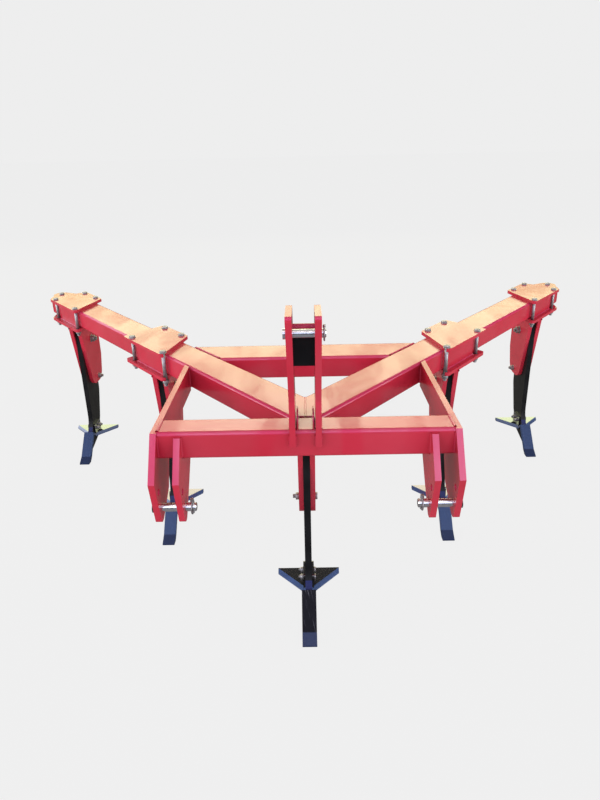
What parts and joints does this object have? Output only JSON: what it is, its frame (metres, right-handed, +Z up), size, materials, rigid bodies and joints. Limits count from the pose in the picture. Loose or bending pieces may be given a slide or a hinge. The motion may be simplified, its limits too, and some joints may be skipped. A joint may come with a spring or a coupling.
{
  "type": "subsoiler",
  "caption": "Tractor-mounted subsoiler with a V-shaped box-tube frame, three-point hitch, clamped tine holders, curved shanks, chisel shares and winged feet.",
  "frame": {"origin": "on the ground, in the middle of the whole machine's plan", "axes": "+X across the frame to the right as seen from the tractor's seat looking back, +Y back away from the hitch, +Z up"},
  "size_m": [2.9546, 1.9404, 1.269],
  "materials": {
    "red_paint": "gloss",
    "black_paint": "satin",
    "blued_wear_steel": "satin",
    "zinc_plate": "satin"
  },
  "bodies": {
    "frame": {"front_crossbeam": "red_paint", "rear_crossbeam": "red_paint", "mast_tie_bar": "red_paint", "holder_centre": "red_paint", "arm_left": "red_paint", "arm_right": "red_paint", "arm_cap_left": "red_paint", "arm_cap_right": "red_paint", "side_plate_left": "red_paint", "side_plate_right": "red_paint", "hitch_cheek_left": "red_paint", "hitch_cheek_right": "red_paint", "mast_plate_left": "red_paint", "mast_plate_right": "red_paint", "mast_lug_left": "red_paint", "mast_lug_right": "red_paint", "clamp_plate_middle_left": "red_paint", "clamp_plate_middle_right": "red_paint", "clamp_plate_outer_left": "red_paint", "clamp_plate_outer_right": "red_paint", "holder_middle_left": "red_paint", "holder_middle_right": "red_paint", "holder_outer_left": "red_paint", "holder_outer_right": "red_paint", "shank_centre": "black_paint", "wings_centre": "black_paint", "shank_middle_left": "black_paint", "shank_middle_right": "black_paint", "shank_outer_left": "black_paint", "shank_outer_right": "black_paint", "wings_middle_left": "black_paint", "wings_middle_right": "black_paint", "wings_outer_left": "black_paint", "wings_outer_right": "black_paint", "mast_tie_plate": "black_paint", "share_centre": "blued_wear_steel", "share_middle_left": "blued_wear_steel", "share_middle_right": "blued_wear_steel", "share_outer_left": "blued_wear_steel", "share_outer_right": "blued_wear_steel"},
    "lower_pin_left": {"lower_link_pin_left": "zinc_plate", "lower_link_linchpin_left": "zinc_plate"},
    "lower_pin_right": {"lower_link_pin_right": "zinc_plate", "lower_link_linchpin_right": "zinc_plate"},
    "top_pin": {"top_link_pin": "zinc_plate", "top_link_linchpin": "zinc_plate"}
  },
  "joints": [
    {"name": "lower_pin_turn_left", "type": "hinge", "parent": "frame", "child": "lower_pin_left", "pos_m": [-0.435, -0.86223, 0.615], "axis": [1, 0, 0], "continuous": true},
    {"name": "lower_pin_turn_right", "type": "hinge", "parent": "frame", "child": "lower_pin_right", "pos_m": [0.435, -0.86223, 0.615], "axis": [1, 0, 0], "continuous": true},
    {"name": "top_pin_turn", "type": "hinge", "parent": "frame", "child": "top_pin", "pos_m": [0, -0.91123, 1.205], "axis": [1, 0, 0], "continuous": true}
  ]
}
